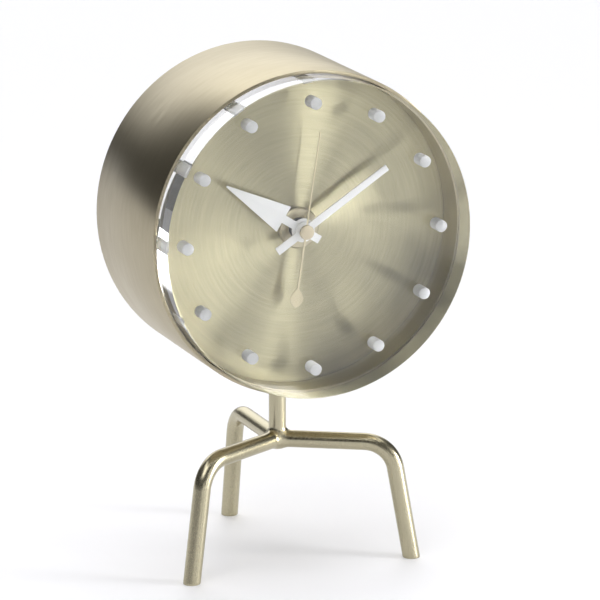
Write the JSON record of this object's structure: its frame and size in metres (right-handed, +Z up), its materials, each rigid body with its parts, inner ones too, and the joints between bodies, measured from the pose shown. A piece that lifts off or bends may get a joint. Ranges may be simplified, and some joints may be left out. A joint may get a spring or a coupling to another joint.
{
  "type": "tripod clock",
  "caption": "Brass drum table clock on a tripod of bent rods, with a thick clear lens that holds round hour pegs, a sunk dial and a battery movement with its wheel train.",
  "frame": {"origin": "on the table, at the centre of the clock's own box; the stem's axis is 5.88 mm in front of it", "axes": "+Z up, the dial faces -Y, +X to the right of a reader of the dial"},
  "size_m": [0.1342, 0.108, 0.2111],
  "materials": {
    "brass": "satin, brushed",
    "bright_brass": "polished",
    "clear_acrylic": "clear, polished",
    "frosted_white": "frosted",
    "white_lacquer": "satin lacquer",
    "black_plastic": "moulded",
    "white_plastic": "moulded",
    "rubber": "matt",
    "steel": "satin",
    "copper": "enamelled wire",
    "board_green": "solder mask",
    "cell_jacket": "plain jacket"
  },
  "bodies": {
    "case": {"drum_shell": "brass", "lens": "clear_acrylic", "hour_peg_01": "frosted_white", "hour_peg_02": "frosted_white", "hour_peg_03": "frosted_white", "hour_peg_04": "frosted_white", "hour_peg_05": "frosted_white", "hour_peg_06": "frosted_white", "hour_peg_07": "frosted_white", "hour_peg_08": "frosted_white", "hour_peg_09": "frosted_white", "hour_peg_10": "frosted_white", "hour_peg_11": "frosted_white", "hour_peg_12": "frosted_white", "dial_ring": "brass", "dial": "brass", "dial_nut": "brass", "cushion_washer": "rubber", "dial_seat_ring": "brass", "cover_seat_ring": "brass", "rear_cover": "brass", "cover_screw_1": "steel", "cover_screw_2": "steel", "cover_screw_3": "steel", "stem": "brass", "leg_left": "brass", "leg_right": "brass", "leg_back": "brass", "stem_washer": "steel", "stem_nut": "steel", "movement_front_plate": "black_plastic", "movement_middle_plate": "white_plastic", "movement_housing": "black_plastic", "stator": "steel", "coil": "copper", "circuit_board": "board_green", "contact_minus": "steel", "contact_plus": "steel"},
    "minute_arbor": {"minute_hand": "white_lacquer", "minute_pipe": "bright_brass"},
    "hour_arbor": {"hour_hand": "white_lacquer", "hour_wheel": "white_plastic"},
    "minute_wheel_arbor": {"minute_wheel": "white_plastic"},
    "setting_arbor": {"set_shaft": "white_plastic", "set_knob": "black_plastic"},
    "second_arbor": {"second_hand": "bright_brass", "hub_cap": "bright_brass", "second_wheel": "steel"},
    "third_arbor": {"third_wheel": "white_plastic"},
    "centre_arbor": {"centre_wheel": "white_plastic"},
    "step_arbor": {"step_wheel": "white_plastic"},
    "rotor_arbor": {"rotor": "steel"},
    "cell": {"battery": "cell_jacket"}
  },
  "joints": [
    {"name": "minute_hand_turn", "type": "hinge", "parent": "case", "child": "minute_arbor", "pos_m": [0, -0.0295, 0.144], "axis": [0, 1, 0], "continuous": true},
    {"name": "hour_hand_turn", "type": "hinge", "parent": "case", "child": "hour_arbor", "pos_m": [0, -0.028, 0.144], "axis": [0, 1, 0], "continuous": true},
    {"name": "minute_wheel_turn", "type": "hinge", "parent": "case", "child": "minute_wheel_arbor", "pos_m": [0.00657, -0.0147, 0.151], "axis": [0, 1, 0], "continuous": true},
    {"name": "set_knob_turn", "type": "hinge", "parent": "case", "child": "setting_arbor", "pos_m": [0, 0.0009, 0.158], "axis": [0, 1, 0], "continuous": true},
    {"name": "second_hand_turn", "type": "hinge", "parent": "case", "child": "second_arbor", "pos_m": [0, -0.0312, 0.144], "axis": [0, 1, 0], "continuous": true},
    {"name": "third_wheel_turn", "type": "hinge", "parent": "case", "child": "third_arbor", "pos_m": [0.007, -0.0107, 0.144], "axis": [0, 1, 0], "continuous": true},
    {"name": "centre_wheel_turn", "type": "hinge", "parent": "case", "child": "centre_arbor", "pos_m": [0, -0.012, 0.144], "axis": [0, 1, 0], "continuous": true},
    {"name": "step_wheel_turn", "type": "hinge", "parent": "case", "child": "step_arbor", "pos_m": [-0.00624, -0.008, 0.1476], "axis": [0, 1, 0], "continuous": true},
    {"name": "rotor_turn", "type": "hinge", "parent": "case", "child": "rotor_arbor", "pos_m": [-0.01109, -0.0067, 0.1504], "axis": [0, 1, 0], "continuous": true},
    {"name": "cell_pull", "type": "slide", "parent": "case", "child": "cell", "axis": [0, 1, 0], "range_m": [0, 0.022]}
  ],
  "couplings": [
    {"joint": "hour_hand_turn", "follows": "minute_hand_turn", "ratio": 0.083333},
    {"joint": "minute_wheel_turn", "follows": "minute_hand_turn", "ratio": -0.33333},
    {"joint": "set_knob_turn", "follows": "minute_hand_turn", "ratio": 1},
    {"joint": "third_wheel_turn", "follows": "second_hand_turn", "ratio": -0.13333},
    {"joint": "centre_wheel_turn", "follows": "second_hand_turn", "ratio": 0.016667},
    {"joint": "step_wheel_turn", "follows": "second_hand_turn", "ratio": -5},
    {"joint": "rotor_turn", "follows": "second_hand_turn", "ratio": 30}
  ]
}
